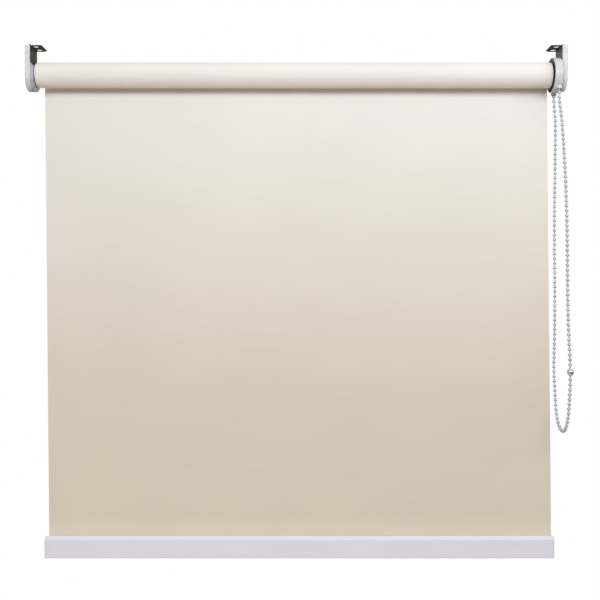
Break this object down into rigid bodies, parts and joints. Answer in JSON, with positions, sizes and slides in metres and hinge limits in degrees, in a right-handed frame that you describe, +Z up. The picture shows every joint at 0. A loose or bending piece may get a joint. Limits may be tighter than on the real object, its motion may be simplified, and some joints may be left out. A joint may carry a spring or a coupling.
{
  "type": "roller blind",
  "caption": "Chain-operated roller blind: cream cloth wound on a tube between end brackets, with a straight bottom bar and a hanging bead chain.",
  "frame": {"origin": "midway between the two brackets, on the fixing plane that the tops of the bracket flanges meet (mount fixing_plane)", "axes": "+X along the roller to the right as the room sees it, +Y away from the room towards the window, +Z up"},
  "size_m": [0.67, 0.0783, 0.6425],
  "materials": {
    "bracket_steel": "dark zinc-plated pressed steel",
    "cover_plastic": "light grey moulded plastic",
    "housing_plastic": "light grey moulded plastic",
    "guard_plastic": "charcoal moulded plastic",
    "drive_plastic": "white acetal",
    "spring_steel": "bright spring wire",
    "bright_steel": "bright turned steel",
    "tube_aluminium": "plain drawn aluminium",
    "blind_fabric": "cream coated blackout cloth with a fine horizontal weave",
    "fixing_tape": "double-sided tape",
    "bar_white": "satin white painted aluminium",
    "cap_white": "satin white moulded plastic",
    "rod_plastic": "white plastic rod",
    "chain_plastic": "white moulded beads on a polyester cord",
    "ball_metal": "bright plated"
  },
  "bodies": {
    "root": {"bracket_left": "bracket_steel", "bracket_right": "bracket_steel", "bracket_cover_left": "cover_plastic", "bracket_cover_right": "cover_plastic", "pin_socket": "cover_plastic", "control_base": "drive_plastic", "axle_washer": "bright_steel", "axle_screw": "bright_steel", "chain_housing": "housing_plastic", "chain_guard": "guard_plastic", "chain_loop": "chain_plastic", "chain_stop_ball": "ball_metal", "hanging_fabric": "blind_fabric"},
    "roller": {"roller_tube": "tube_aluminium", "fabric_tape": "fixing_tape", "fabric_roll": "blind_fabric", "idle_plug": "drive_plastic", "idle_spring": "spring_steel", "drive_crown": "drive_plastic"},
    "sprocket": {"chain_sprocket": "drive_plastic", "chain_on_sprocket": "chain_plastic", "wrap_spring_1": "spring_steel", "wrap_spring_2": "spring_steel"},
    "idle_pin": {"idle_pin": "bright_steel"},
    "bottom_bar": {"bottom_rail": "bar_white", "rail_cap_left": "cap_white", "rail_cap_right": "cap_white", "keder_rod": "rod_plastic", "fabric_hem": "blind_fabric"}
  },
  "joints": [
    {"name": "roller_spin", "type": "hinge", "parent": "root", "child": "roller", "pos_m": [0, 0, -0.035], "axis": [1, 0, 0], "range_deg": [0, 1903.7]},
    {"name": "sprocket_spin", "type": "hinge", "parent": "root", "child": "sprocket", "pos_m": [0, 0, -0.035], "axis": [1, 0, 0], "range_deg": [0, 1904]},
    {"name": "bar_lift", "type": "slide", "parent": "root", "child": "bottom_bar", "axis": [0, 0, 1], "range_m": [0, 0.5201], "deforming": ["hanging_fabric"]},
    {"name": "pin_retract", "type": "slide", "parent": "roller", "child": "idle_pin", "axis": [1, 0, 0], "range_m": [0, 0.0055], "stiffness_N_per_m": 400, "springref_m": -0.004, "deforming": ["idle_spring"]}
  ],
  "couplings": [
    {"joint": "sprocket_spin", "follows": "roller_spin", "ratio": 1},
    {"joint": "bar_lift", "follows": "roller_spin", "m_per_rad": 0.01565}
  ]
}
